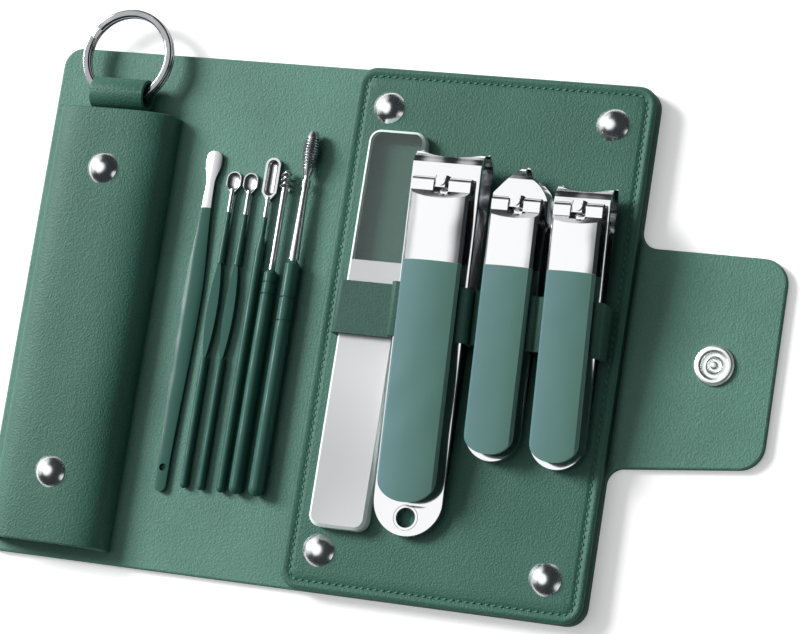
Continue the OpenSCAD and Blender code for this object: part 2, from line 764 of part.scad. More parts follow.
module rod(d, from, to) {
    translate([0, from, 0]) rotate([-90, 0, 0]) cylinder(d = d, h = to - from);
}

module taper(d1, d2, from, to) {
    translate([0, from, 0]) rotate([-90, 0, 0]) cylinder(d1 = d1, d2 = d2, h = to - from);
}

// Handle with a rounded end and turned grooves
module round_handle(d, len, grooves) {
    cut = 0.3;
    difference() {
        union() {
            translate([0, d / 2, 0]) sphere(d = d);
            rod(d, d / 2, len - d / 4);
            taper(d, d / 2, len - d / 4, len);
        }
        for (y = grooves) difference() {
            rod(d + over, y, y + cut);
            rod(d - 2 * cut, y - over, y + over);
        }
    }
}

// Half the spatula's width along its length: leaf-shaped handle, narrow neck, spade with a blunt end
function smooth(a, b, t) = a + (b - a) * (1 - cos(180 * t)) / 2;
function spatula_half(t) =
    let (grip = 0.55, neck = 0.905, spade = 0.965, tail_w = 2.7, neck_w = 1.9, spade_w = 3.7)
    t < grip ? smooth(tail_w, spatula_w, t / grip) / 2
    : t < neck ? smooth(spatula_w, neck_w, (t - grip) / (neck - grip)) / 2
    : t < spade ? smooth(neck_w, spade_w, (t - neck) / (spade - neck)) / 2
    : spade_w * sqrt(1 - 0.9 * pow((t - spade) / (1 - spade), 4)) / 2;

module ear_spatula() {
    handle_steps = 26;
    head_steps = 16;
    head = 0.89;
    thick = 1.1;
    crown_ball = 6;
    hole_d = 1.6;
    hole_y = 4;
    places = concat([for (i = [0:handle_steps]) head * i / handle_steps],
                    [for (i = [1:head_steps]) head + (1 - head) * i / head_steps]);
    side = [for (t = places) [spatula_half(t), spatula_len * t]];
    other = [for (p = backwards(side)) [-p[0], p[1]]];
    color(enamel) tool_frame(spatula_x, 0) difference() {
        intersection() {
            union() {
                linear_extrude(thick) polygon(concat(side, other));
                cylinder(r = spatula_half(0), h = thick);
            }
            translate([0, -spatula_w, thick - crown_ball]) rod(2 * crown_ball, 0, spatula_len + 2 * spatula_w);
        }
        translate([0, hole_y, -over]) cylinder(d = hole_d, h = thick + 2 * over);
    }
}

// Dished bowl with a round end, drawn from its neck along y, with its underside at z = 0
module bowl(w, length, thick, rim, depth, neck_w) {
    open = w / 2 - rim;
    ball_r = (pow(open, 2) + pow(depth, 2)) / (2 * depth);
    ball_z = thick - depth + ball_r;
    shoulder = 0.45 * w;
    end = length - w / 2;
    difference() {
        linear_extrude(thick) union() {
            translate([0, end]) circle(d = w);
            polygon([[-w / 2, end], [-w / 2, shoulder], [-neck_w / 2, 0],
                     [neck_w / 2, 0], [w / 2, shoulder], [w / 2, end]]);
        }
        for (y = [shoulder + rim, end]) translate([0, y, ball_z]) sphere(ball_r);
        translate([0, 0, ball_z]) rod(2 * ball_r, shoulder + rim, end);
    }
}

// Small cup on a wire handle with a flattened grip
module ear_scoop(x) {
    wire_d = 1.7;
    neck_d = 1.15;
    grip_from = 27;
    grip_to = 52;
    grip_t = 1.1;
    neck_from = 60.5;
    cup_from = scoop_len - scoop_cup;
    half = (grip_to - grip_from) / 2;
    arc_r = (pow(half, 2) + pow(scoop_grip_w / 2, 2)) / scoop_grip_w;
    color(enamel) tool_frame(x, wire_d / 2) {
        translate([0, wire_d / 2, 0]) sphere(d = wire_d);
        rod(wire_d, wire_d / 2, grip_from + 2);
        taper(wire_d, neck_d, grip_to - 2, neck_from);
        rod(neck_d, neck_from, cup_from + neck_d / 2);
        translate([0, grip_from, -grip_t / 2]) linear_extrude(grip_t) intersection() {
            translate([arc_r - scoop_grip_w / 2, half]) circle(arc_r, $fn = 180);
            translate([scoop_grip_w / 2 - arc_r, half]) circle(arc_r, $fn = 180);
        }
        translate([0, cup_from, -wire_d / 2]) bowl(scoop_w, scoop_cup, 1.1, 0.22, 0.6, neck_d);
    }
}

module ear_scoop_left() { ear_scoop(scoop_left_x); }
module ear_scoop_right() { ear_scoop(scoop_right_x); }

module ear_spoon() {
    rod_d = 2;
    neck_d = 1.15;
    neck_from = 57;
    bowl_from = spoon_len - spoon_bowl;
    color(enamel) tool_frame(spoon_x, rod_d / 2) {
        translate([0, rod_d / 2, 0]) sphere(d = rod_d);
        rod(rod_d, rod_d / 2, neck_from - 3);
        taper(rod_d, neck_d, neck_from - 3, neck_from);
        rod(neck_d, neck_from, bowl_from + neck_d / 2);
        translate([0, bowl_from, -rod_d / 2]) bowl(spoon_w, spoon_bowl, 1.3, 0.5, 0.95, neck_d);
    }
}

// Screw pick: a wire wound round the end of its shaft

screw_handle = 49.6;
screw_head = 4.4;
screw_turns = 3;
screw_wire = 0.39;
screw_grooves = [44, 46.6];
screw_shaft_d = 1.4;
screw_core = 0.7;
insert = 6;

module helix(r, wire_r, pitch, turns, per_turn, sides) {
    rings = floor(turns * per_turn);
    slope = atan(pitch / (360 * r * PI / 180));
    pts = [for (i = [0:rings], k = [0:sides - 1])
        let (a = 360 * i / per_turn, q = 360 * k / sides,
             out = r + wire_r * cos(q), up = wire_r * sin(q))
        [out * cos(a) + up * sin(slope) * sin(a), out * sin(a) - up * sin(slope) * cos(a),
         pitch * i / per_turn + up * cos(slope)]];
    walls = [for (i = [0:rings - 1], k = [0:sides - 1])
        let (a = i * sides + k, b = i * sides + (k + 1) % sides)
        each [[a, b, a + sides], [b, b + sides, a + sides]]];
    start = [for (k = [1:sides - 2]) [0, k + 1, k]];
    last = rings * sides;
    end = [for (k = [1:sides - 2]) [last, last + k, last + k + 1]];
    echo(least_gap_to_itself = pitch - 2 * wire_r);
    polyhedron(points = pts, faces = concat(walls, start, end));
}

module screw_pick_handle() {
    color(enamel) tool_frame(screw_x, screw_d / 2) difference() {
        round_handle(screw_d, screw_handle, screw_grooves);
        rod(screw_shaft_d + 2 * seat, screw_handle - insert, screw_handle + over);
    }
}

module screw_pick_shaft() {
    pitch = (screw_head - 2 * screw_wire) / screw_turns;
    from = screw_len - screw_head;
    color(chrome) tool_frame(screw_x, screw_d / 2) {
        rod(screw_shaft_d, screw_handle - insert + seat, from + 0.4);
        rod(2 * screw_core, from, screw_len - 0.3);
        translate([0, screw_len - 0.3, 0]) sphere(r = screw_core);
        translate([0, from + screw_wire, 0]) rotate([-90, 0, 0])
            helix(screw_core + screw_wire * 0.4, screw_wire, pitch, screw_turns, 12, 6);
    }
}

// Ribbed pick: a bulb with rings turned into it

ribbed_handle = 52;
ribbed_collar = 68.4;
ribbed_grooves = [38.4, 43.6];
ribbed_shaft_d = 1.6;
ribs = 11;
ribbed_z = max(ribbed_d, ribbed_head_w) / 2;

function bulb_r(t) = ribbed_head_w / 2 * (0.42 + 0.58 * pow(sin(180 * pow(t, 1.25)), 0.8));

module ribbed_pick_handle() {
    color(enamel) tool_frame(ribbed_x, ribbed_z) difference() {
        round_handle(ribbed_d, ribbed_handle, ribbed_grooves);
        rod(ribbed_shaft_d + 2 * seat, ribbed_handle - insert, ribbed_handle + over);
    }
}

module ribbed_pick_shaft() {
    head_from = 71;
    steps = 96;
    rib_cut = 0.2;
    ribs_from = 0.16;
    ribs_to = 0.84;
    head = [for (i = [0:steps])
        let (t = i / steps, ribbed = t > ribs_from && t < ribs_to)
        [bulb_r(t) - (ribbed ? rib_cut * (1 - cos(360 * ribs * (t - ribs_from) / (ribs_to - ribs_from))) : 0),
         head_from + (ribbed_len - head_from) * t]];
    color(chrome) tool_frame(ribbed_x, ribbed_z) {
        rod(ribbed_shaft_d, ribbed_handle - insert + seat, ribbed_handle + 0.5);
        taper(2.3, 1.5, ribbed_handle + 0.2, ribbed_collar);
        rod(1.9, ribbed_collar, ribbed_collar + 1.6);
        taper(1.3, 1.3, ribbed_collar, head_from + 0.5);
        rotate([-90, 0, 0]) rotate_extrude($fn = 32)
            polygon(concat([[0, head_from]], head, [[0, ribbed_len]]));
    }
}

cover_right();
cover_spine();
cover_left();
cover_flap();
panel_skin();
panel_board();
panel_rivets();
tool_strap();
sleeve();
sleeve_rivets();
ring_strap();
key_ring();
snap_socket();
snap_cap();
snap_stud();
glass_file();
large_lower_arm();
large_upper_arm();
large_eyelet();
large_pin_post();
large_lever();
diagonal_lower_arm();
diagonal_upper_arm();
diagonal_eyelet();
diagonal_pin_post();
diagonal_lever();
small_lower_arm();
small_upper_arm();
small_eyelet();
small_pin_post();
small_lever();
ear_spatula();
ear_scoop_left();
ear_scoop_right();
ear_spoon();
screw_pick_handle();
screw_pick_shaft();
ribbed_pick_handle();
ribbed_pick_shaft();
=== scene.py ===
"""Looks of a folding leather manicure case that lies open with its tools.

Lengths are metres in the frame of the solid model: +Z up from the table, +X towards the snap flap
and +Y towards the key ring.
"""

import logging
import math
from collections.abc import Callable, Iterable, Sequence
from dataclasses import dataclass, field
from enum import Enum

import bmesh
import bpy
from bmesh.types import BMesh, BMVert
from bpy.types import Material, Node, NodeTree, Object
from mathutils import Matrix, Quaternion, Vector


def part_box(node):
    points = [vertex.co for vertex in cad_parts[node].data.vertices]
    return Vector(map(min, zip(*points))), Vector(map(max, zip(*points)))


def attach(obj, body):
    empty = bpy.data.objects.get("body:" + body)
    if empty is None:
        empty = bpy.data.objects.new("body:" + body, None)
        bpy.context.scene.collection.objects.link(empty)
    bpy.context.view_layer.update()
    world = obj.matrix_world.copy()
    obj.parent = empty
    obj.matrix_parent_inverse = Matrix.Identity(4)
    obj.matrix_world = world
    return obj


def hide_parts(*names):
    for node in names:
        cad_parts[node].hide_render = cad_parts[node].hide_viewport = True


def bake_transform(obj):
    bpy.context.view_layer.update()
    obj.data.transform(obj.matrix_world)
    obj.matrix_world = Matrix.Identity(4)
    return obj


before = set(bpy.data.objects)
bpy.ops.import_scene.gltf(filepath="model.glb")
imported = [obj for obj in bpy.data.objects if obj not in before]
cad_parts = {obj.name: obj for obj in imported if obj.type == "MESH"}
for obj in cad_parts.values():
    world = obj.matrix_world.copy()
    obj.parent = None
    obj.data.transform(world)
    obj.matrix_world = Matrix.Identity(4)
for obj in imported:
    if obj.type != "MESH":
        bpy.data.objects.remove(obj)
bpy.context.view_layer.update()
MM = 0.001

log = logging.getLogger("manicure_case")

Socket = str | int
Link = tuple[Node, Socket]
Scale = tuple[float, float, float]

SMOOTH = {"interpolation_type": "SMOOTHSTEP"}
# A Mix node's data types share socket names, so its colour sockets go by number.
COLOURS = {"data_type": "RGBA"}
MIX_A, MIX_B, MIX_RESULT = 6, 7, 2
# The sRGB transfer curve: a straight foot, then a power.
SRGB_KNEE, SRGB_SLOPE, SRGB_OFFSET, SRGB_SCALE, SRGB_POWER = 0.04045, 12.92, 0.055, 1.055, 2.4


class Body(Enum):
    """The rigid bodies that the pieces of this file ride on."""

    BASE = "base"
    SPINE = "spine"
    LEFT = "left_half"
    FLAP = "flap"


def linear(hex_colour: str) -> tuple[float, float, float, float]:
    """Turns an sRGB hex colour into linear RGBA.

    Args:
        hex_colour: Colour as "#rrggbb".

    Returns:
        Linear red, green, blue and an alpha of 1.
    """
    channels = [int(hex_colour[i:i + 2], 16) / 255 for i in (1, 3, 5)]
    red, green, blue = (
        c / SRGB_SLOPE if c <= SRGB_KNEE else ((c + SRGB_OFFSET) / SRGB_SCALE) ** SRGB_POWER
        for c in channels)
    return (red, green, blue, 1.0)


def add_node(tree: NodeTree, kind: str, settings: dict[Socket, object] | None = None,
             links: dict[Socket, Link] | None = None) -> Node:
    """Adds one node with its settings and links.

    Args:
        tree: Node tree that gets the node.
        kind: Blender's name of the node's class, without its ShaderNode.
        settings: Values by name. A name in lower case is the node's own property, any other one
            an input.
        links: For each input, the node and output that feed it.

    Returns:
        The new node.
    """
    node = tree.nodes.new(f"ShaderNode{kind}")
    for name, value in (settings or {}).items():
        if isinstance(name, str) and name[0].islower():
            setattr(node, name, value)
        else:
            node.inputs[name].default_value = value
    for name, (source, output) in (links or {}).items():
        tree.links.new(source.outputs[output], node.inputs[name])
    return node


def new_material(name: str) -> tuple[Material, NodeTree, Link]:
    """Makes an empty material with object coordinates.

    Args:

    Returns:
        The material, its node tree and the output that gives object coordinates in metres.
    """
    material = bpy.data.materials.new(name)
    material.use_nodes = True
    material.node_tree.nodes.clear()
    return material, material.node_tree, (add_node(material.node_tree, "TexCoord"), "Object")


def finish_with(tree: NodeTree, shader: Node) -> None:
    """Ends a material with its shader.

    Args:
        tree: The material's node tree.
        shader: The shader.
    """
    add_node(tree, "OutputMaterial", {}, {"Surface": (shader, 0)})


@dataclass(frozen=True)
class Leather:
    """Split leather with an embossed polyurethane skin: fine pebbles, faint strokes, low sheen.

    Attributes:
        stroke: Size of the strokes across.
        stretch: Scale of the strokes along each axis. Below 1 they run long.
        stroke_part: How much the strokes add to the pebbles.
        cloud: Size of the slow patches of colour.
        cloud_part: How much the patches add to the strokes' colour.
        darkest: Mottle at which the colour is the dark one.
        palest: Mottle at which it is the pale one.
    """

    name: str = "embossed_leather"
    colour: str = "#466d61"
    pale: str = "#609080"
    grain: float = 0.45 * MM
    stroke: float = 0.25 * MM
    stretch: Scale = (1.0, 0.55, 1.0)
    depth: float = 0.12 * MM
    emboss: float = 0.6
    stroke_part: float = 1.1
    cloud: float = 20 * MM
    cloud_part: float = 0.7
    darkest: float = 0.45
    palest: float = 1.25
    roughness: float = 0.55
    shine: float = 0.25

    def build(self) -> Material:
        """Returns the leather. Its relief breaks the highlights up into fine specks."""
        material, tree, at = new_material(self.name)
        cells = add_node(tree, "TexVoronoi",
                         {"feature": "SMOOTH_F1", "Scale": 1 / self.grain, "Smoothness": 0.5},
                         {"Vector": at})
        drawn = add_node(tree, "Mapping", {"Scale": self.stretch}, {"Vector": at})
        strokes = add_node(tree, "TexNoise", {"Scale": 1 / self.stroke, "Detail": 3.0},
                           {"Vector": (drawn, 0)})
        clouds = add_node(tree, "TexNoise", {"Scale": 1 / self.cloud, "Detail": 2.0},
                          {"Vector": at})
        relief = add_node(tree, "Math", {"operation": "MULTIPLY_ADD", 1: self.stroke_part},
                          {0: (strokes, 0), 2: (cells, "Distance")})
        mottle = add_node(tree, "Math", {"operation": "MULTIPLY_ADD", 1: self.cloud_part},
                          {0: (clouds, 0), 2: (strokes, 0)})
        tone = add_node(tree, "MapRange", {"From Min": self.darkest, "From Max": self.palest},
                        {"Value": (mottle, 0)})
        colour = add_node(tree, "Mix",
                          {**COLOURS, MIX_A: linear(self.colour), MIX_B: linear(self.pale)},
                          {"Factor": (tone, 0)})
        bump = add_node(tree, "Bump", {"Strength": self.emboss, "Distance": self.depth},
                        {"Height": (relief, 0)})
        finish_with(tree, add_node(
            tree, "BsdfPrincipled",
            {"Roughness": self.roughness, "Specular IOR Level": self.shine},
            {"Base Color": (colour, MIX_RESULT), "Normal": (bump, 0)}))
        return material


@dataclass(frozen=True)
class EdgePaint:
    """Cut leather edge closed with a coat of paint: darker, smooth, a little uneven. A near-black
    copy is painted shade on the tool panel's sides.
    """

    name: str = "painted_leather_edge"
    colour: str = "#2f5347"
    pale: str = "#3f6a5b"
    lumps: float = 1.2 * MM
    depth: float = 0.05 * MM
    roughness: float = 0.7
    shine: float = 0.12

    def build(self) -> Material:
        """Returns the edge paint, whose tone changes slowly along the edge."""
        material, tree, at = new_material(self.name)
        uneven = add_node(tree, "TexNoise", {"Scale": 1 / self.lumps}, {"Vector": at})
        colour = add_node(tree, "Mix",
                          {**COLOURS, MIX_A: linear(self.colour), MIX_B: linear(self.pale)},
                          {"Factor": (uneven, 0)})
        bump = add_node(tree, "Bump", {"Strength": 0.3, "Distance": self.depth},
                        {"Height": (uneven, 0)})
        finish_with(tree, add_node(
            tree, "BsdfPrincipled",
            {"Roughness": self.roughness, "Specular IOR Level": self.shine},
            {"Base Color": (colour, MIX_RESULT), "Normal": (bump, 0)}))
        return material


@dataclass(frozen=True)
class Thread:
    """Twisted polyester sewing thread: fine slanting plies with a soft shine."""

    name: str = "polyester_thread"
    colour: str = "#47766a"
    ply: float = 0.28 * MM
    waves_per_ply: float = 0.3
    depth: float = 0.04 * MM

    def build(self) -> Material:
        """Returns the thread. Its plies are drawn a little coarse, so that they show."""
        material, tree, at = new_material(self.name)
        plies = add_node(tree, "TexWave",
                         {"bands_direction": "DIAGONAL", "Scale": self.waves_per_ply / self.ply},
                         {"Vector": at})
        bump = add_node(tree, "Bump", {"Strength": 0.5, "Distance": self.depth},
                        {"Height": (plies, 1)})
        finish_with(tree, add_node(
            tree, "BsdfPrincipled", {"Base Color": linear(self.colour), "Roughness": 0.5},
            {"Normal": (bump, 0)}))
        return material


@dataclass(frozen=True)
class Chrome:
    """Steel, stamped and plated with bright chrome: mirror-like, with faint polishing marks.

    Attributes:
        roughness: Its mean roughness.
        least: Share of that roughness on the smoothest marks.
        most: Share of it on the roughest ones.
        marks: Size of the polishing marks across.
        drawn: Scale of the marks along each axis. They run along the piece.
        waves: Size of the slow waves that stamping leaves.
        rolled: Scale of the waves along each axis.
    """

    name: str = "chrome_plated_steel"
    colour: str = "#e4e5e7"
    roughness: float = 0.1
    least: float = 0.6
    most: float = 1.5
    marks: float = 0.9 * MM
    drawn: Scale = (1.0, 0.12, 1.0)
    mark_depth: float = 0.01 * MM
    waves: float = 9 * MM
    rolled: Scale = (1.6, 0.6, 1.0)
    wave_depth: float = 0.6 * MM

    def build(self) -> Material:
        """Returns the plating. Waves bend its reflections, and thin marks break them a little."""
        material, tree, at = new_material(self.name)
        along = add_node(tree, "Mapping", {"Scale": self.drawn}, {"Vector": at})
        marks = add_node(tree, "TexNoise", {"Scale": 1 / self.marks, "Detail": 4.0},
                         {"Vector": (along, 0)})
        rough = add_node(
            tree, "MapRange",
            {"To Min": self.roughness * self.least, "To Max": self.roughness * self.most},
            {"Value": (marks, 0)})
        sheet = add_node(tree, "Mapping", {"Scale": self.rolled}, {"Vector": at})
        waves = add_node(tree, "TexNoise", {"Scale": 1 / self.waves, "Detail": 0.0},
                         {"Vector": (sheet, 0)})
        waved = add_node(tree, "Bump", {"Strength": 1.0, "Distance": self.wave_depth},
                         {"Height": (waves, 0)})
        bump = add_node(tree, "Bump", {"Strength": 0.12, "Distance": self.mark_depth},
                        {"Height": (marks, 0), "Normal": (waved, 0)})
        finish_with(tree, add_node(
            tree, "BsdfPrincipled", {"Base Color": linear(self.colour), "Metallic": 1.0},
            {"Roughness": (rough, 0), "Normal": (bump, 0)}))
        return material


@dataclass(frozen=True)
class Enamel:
    """Bright-plated steel with a coat of stoved enamel up to a masked line.

    Attributes:
        start: Place of the masked line along +Y, in metres. Beyond it the plating shows.
        left: Place of the piece's left side along +X.
        right: Place of its right side.
        painted_reflection: Colour towards the piece's left side: a painted reflection, bluer or
            paler than the enamel.
        gloss: Roughness of the enamel.
        satin: Roughness of the plating.
        fade: Half the width over which the coat ends at the masked line.
        peel: Size of the enamel's orange peel.
        waves: Size of the slow waves that stamping leaves in the sheet.
    """

    name: str
    start: float
    left: float
    right: float
    colour: str = "#5f867b"
    painted_reflection: str = "#5a7b7d"
    gloss: float = 0.42
    chrome: str = "#e6e7e9"
    satin: float = 0.09
    shine: float = 0.12
    fade: float = 0.06 * MM
    peel: float = 1.4 * MM
    peel_depth: float = 0.02 * MM
    waves: float = 7 * MM
    wave_depth: float = 0.2 * MM

    def build(self) -> Material:
        """Returns the finish: satin-gloss colour below the line, mirror plating above it."""
        material, tree, at = new_material(self.name)
        split = add_node(tree, "SeparateXYZ", {}, {"Vector": at})
        plated = add_node(
            tree, "MapRange",
            {**SMOOTH, "From Min": self.start - self.fade, "From Max": self.start + self.fade},
            {"Value": (split, "Y")})
        # Painted reflection: across the piece the colour runs from the reflection's tint on its
        # left side to the enamel's own colour on its right.
        across = add_node(tree, "MapRange",
                          {**SMOOTH, "From Min": self.left, "From Max": self.right},
                          {"Value": (split, "X")})
        paint = add_node(tree, "Mix",
                         {**COLOURS, MIX_A: linear(self.painted_reflection), MIX_B: linear(self.colour)},
                         {"Factor": (across, 0)})
        peel = add_node(tree, "TexNoise", {"Scale": 1 / self.peel, "Detail": 2.0}, {"Vector": at})
        waves = add_node(tree, "TexNoise", {"Scale": 1 / self.waves, "Detail": 0.0}, {"Vector": at})
        waved = add_node(tree, "Bump", {"Strength": 1.0, "Distance": self.wave_depth},
                         {"Height": (waves, 0)})
        bump = add_node(tree, "Bump", {"Strength": 0.15, "Distance": self.peel_depth},
                        {"Height": (peel, 0), "Normal": (waved, 0)})
        colour = add_node(tree, "Mix", {**COLOURS, MIX_B: linear(self.chrome)},
                          {"Factor": (plated, 0), MIX_A: (paint, MIX_RESULT)})
        rough = add_node(tree, "MapRange", {"To Min": self.gloss, "To Max": self.satin},
                         {"Value": (plated, 0)})
        finish_with(tree, add_node(
            tree, "BsdfPrincipled", {"Specular IOR Level": self.shine},
            {"Base Color": (colour, MIX_RESULT), "Metallic": (plated, 0), "Roughness": (rough, 0),
             "Normal": (bump, 0)}))
        return material


@dataclass(frozen=True)
class FileGlass:
    """Tempered glass: clear at the upper end, etched to a fine grit below, with ground edges.

    Attributes:
        etched: Place along +Y up to which the face is etched.
        fade: Width over which the etching ends.
        face: Steepness, as the normal's share of +Z, at which the flat face starts and is whole.
        clear_cover: How much the clear end hides what lies under it.
    """

    etched: float
    name: str = "tempered_glass"
    fade: float = 0.15 * MM
    face: tuple[float, float] = (0.85, 0.9)
    grit: float = 0.35 * MM
    depth: float = 0.02 * MM
    cloud: float = 26 * MM
    frost: str = "#b8b9bb"
    pale_frost: str = "#d0d0d1"
    rim: str = "#dfeee8"
    tint: str = "#8b9a97"
    clear_cover: float = 0.2
    etched_roughness: float = 0.5
    clear_roughness: float = 0.08

    def build(self) -> Material:
        """Returns the glass. Etching scatters light, and the clear part shows the leather."""
        material, tree, at = new_material(self.name)
        split = add_node(tree, "SeparateXYZ", {}, {"Vector": at})
        past_etch = add_node(
            tree, "MapRange",
            {**SMOOTH, "From Min": self.etched, "From Max": self.etched + self.fade},
            {"Value": (split, "Y")})
        facing = add_node(tree, "NewGeometry")
        local = add_node(tree, "VectorTransform",
                         {"vector_type": "NORMAL", "convert_from": "WORLD", "convert_to": "OBJECT"},
                         {"Vector": (facing, "True Normal")})
        tilt = add_node(tree, "SeparateXYZ", {}, {"Vector": (local, 0)})
        level = add_node(tree, "Math", {"operation": "ABSOLUTE"}, {0: (tilt, "Z")})
        flat = add_node(tree, "MapRange",
                        {**SMOOTH, "From Min": self.face[0], "From Max": self.face[1]},
                        {"Value": (level, 0)})
        clear = add_node(tree, "Math", {"operation": "MULTIPLY"}, {0: (past_etch, 0), 1: (flat, 0)})
        grit = add_node(tree, "TexNoise", {"Scale": 1 / self.grit, "Detail": 3.0}, {"Vector": at})
        clouds = add_node(tree, "TexNoise", {"Scale": 1 / self.cloud, "Detail": 0.0},
                          {"Vector": at})
        cloudy = add_node(tree, "MapRange", {"From Min": 0.35, "From Max": 0.65},
                          {"Value": (clouds, 0)})
        frost = add_node(tree, "Mix",
                         {**COLOURS, MIX_A: linear(self.frost), MIX_B: linear(self.pale_frost)},
                         {"Factor": (cloudy, 0)})
        ground = add_node(tree, "Mix", {**COLOURS, MIX_A: linear(self.rim)},
                          {"Factor": (flat, 0), MIX_B: (frost, MIX_RESULT)})
        colour = add_node(tree, "Mix", {**COLOURS, MIX_B: linear(self.tint)},
                          {"Factor": (clear, 0), MIX_A: (ground, MIX_RESULT)})
        solid = add_node(tree, "MapRange", {"To Min": 1.0, "To Max": self.clear_cover},
                         {"Value": (clear, 0)})
        rough = add_node(tree, "MapRange",
                         {"To Min": self.etched_roughness, "To Max": self.clear_roughness},
                         {"Value": (clear, 0)})
        bump = add_node(tree, "Bump", {"Strength": 0.2, "Distance": self.depth},
                        {"Height": (grit, 0)})
        finish_with(tree, add_node(
            tree, "BsdfPrincipled", {"IOR": 1.5},
            {"Base Color": (colour, MIX_RESULT), "Roughness": (rough, 0), "Alpha": (solid, 0),
             "Normal": (bump, 0)}))
        return material


@dataclass(frozen=True)
class Board:
    """Grey board, pressed: the stiffener inside the tool panel."""

    name: str = "pressed_board"
    colour: str = "#8a7d68"
    pale: str = "#a09580"
    fibre: float = 0.9 * MM

    def build(self) -> Material:
        """Returns the board, with short pressed fibres."""
        material, tree, at = new_material(self.name)
        fibres = add_node(tree, "TexNoise", {"Scale": 1 / self.fibre, "Detail": 5.0},
                          {"Vector": at})
        colour = add_node(tree, "Mix",
                          {**COLOURS, MIX_A: linear(self.colour), MIX_B: linear(self.pale)},
                          {"Factor": (fibres, 0)})
        finish_with(tree, add_node(tree, "BsdfPrincipled", {"Roughness": 0.9},
                                   {"Base Color": (colour, MIX_RESULT)}))
        return material


# A face larger than this, or this close to level, keeps its own normal, so that the smooth
# shading of a rounded edge doesn't spread over it.
BROAD_FACE = 150 * MM * MM
LEVEL = 0.9998
SMOOTH_BELOW = math.radians(38)
SHARP_ABOVE = math.radians(35)
FLAT_BELOW = math.radians(0.05)
WELD = 0.002 * MM
SAME_PLACE = 0.01 * MM
BEVEL_STEPS = 3
CORNER_STEPS = 8
LEAST_CORNER = 0.4 * MM


def make_object(name: str, mesh: BMesh, material: Material) -> Object:
    """Turns a bmesh into a shown piece with smooth shading.

    Args:
        name: The piece's name.
        mesh: Its shape, in the model's frame. It is freed here.
        material: Its finish.

    Returns:
        The piece.
    """
    data = bpy.data.meshes.new(name)
    bmesh.ops.recalc_face_normals(mesh, faces=mesh.faces)
    mesh.to_mesh(data)
    mesh.free()
    piece = bpy.data.objects.new(name, data)
    bpy.context.scene.collection.objects.link(piece)
    data.materials.append(material)
    data.shade_smooth()
    data.set_sharp_from_angle(angle=SMOOTH_BELOW)
    for face in data.polygons:
        if face.area > BROAD_FACE or abs(face.normal.z) > LEVEL:
            face.use_smooth = False
    return piece


def softened_copy(node: str, name: str, rounding: float, material: Material) -> Object:
    """Copies a solid's shape with its sharp edges rounded, as cut leather's are.

    Args:
        node: Name of the solid.
        name: Name of the new piece.
        rounding: Radius of the rounding.
        material: Finish of the piece.

    Returns:
        The piece, which stands for the solid.
    """
    mesh = bmesh.new()
    mesh.from_mesh(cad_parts[node].data)
    bmesh.ops.remove_doubles(mesh, verts=mesh.verts, dist=WELD)
    bmesh.ops.dissolve_limit(mesh, angle_limit=FLAT_BELOW, verts=mesh.verts, edges=mesh.edges)
    sharp = [e for e in mesh.edges if len(e.link_faces) == 2 and e.calc_face_angle() > SHARP_ABOVE]
    bmesh.ops.bevel(mesh, geom=sharp, offset=rounding, segments=BEVEL_STEPS, profile=0.5,
                    affect="EDGES", clamp_overlap=True)
    piece = make_object(name, mesh, material)
    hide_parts(node)
    return piece


def arc(centre: tuple[float, float], radius: float, start: float, end: float,
        steps: int = CORNER_STEPS) -> list[Vector]:
    """Points along an arc in the plane of the table.

    Args:
        centre: Middle of the arc.
        radius: Its radius.
        start: First angle, in degrees.
        end: Last angle.
        steps: Number of steps between them.

    Returns:
        The points, first and last included.
    """
    x, y = centre
    angles = (math.radians(start + (end - start) * i / steps) for i in range(steps + 1))
    return [Vector((x + radius * math.cos(a), y + radius * math.sin(a), 0.0)) for a in angles]


def rounded_ring(low: Vector, high: Vector, radius: float, inset: float,
                 height: float) -> list[Vector]:
    """Points round a rectangle with round corners, all at one height.

    Args:
        low: Corner with the lowest X and Y.
        high: Corner with the highest X and Y.
        radius: Radius of the corners at no inset.
        inset: Distance by which the ring lies inside the rectangle.
        height: Height of the ring.

    Returns:
        The ring's points, anticlockwise, always the same number.
    """
    r = max(radius - inset, LEAST_CORNER)
    x0, x1 = low.x + inset + r, high.x - inset - r
    y0, y1 = low.y + inset + r, high.y - inset - r
    ring: list[Vector] = []
    for (x, y), start in zip(((x1, y0), (x1, y1), (x0, y1), (x0, y0)), (-90, 0, 90, 180)):
        ring += arc((x, y), r, start, start + 90)
    return [Vector((p.x, p.y, height)) for p in ring]


def add_skin(mesh: BMesh, rings: Sequence[Sequence[Vector]]) -> None:
    """Adds a skin over rings of equally many points to a mesh, with a cap at both ends.

    Args:
        mesh: Mesh that gets it.
        rings: The rings, in order.
    """
    rows = [[mesh.verts.new(p) for p in ring] for ring in rings]
    count = len(rows[0])
    for below, above in zip(rows, rows[1:]):
        for i in range(count):
            j = (i + 1) % count
            mesh.faces.new((below[i], below[j], above[j], above[i]))
    mesh.faces.new(rows[0][::-1])
    mesh.faces.new(rows[-1])


def loft(rings: Sequence[Sequence[Vector]]) -> BMesh:
    """Returns a new mesh with a skin over the rings."""
    mesh = bmesh.new()
    add_skin(mesh, rings)
    return mesh


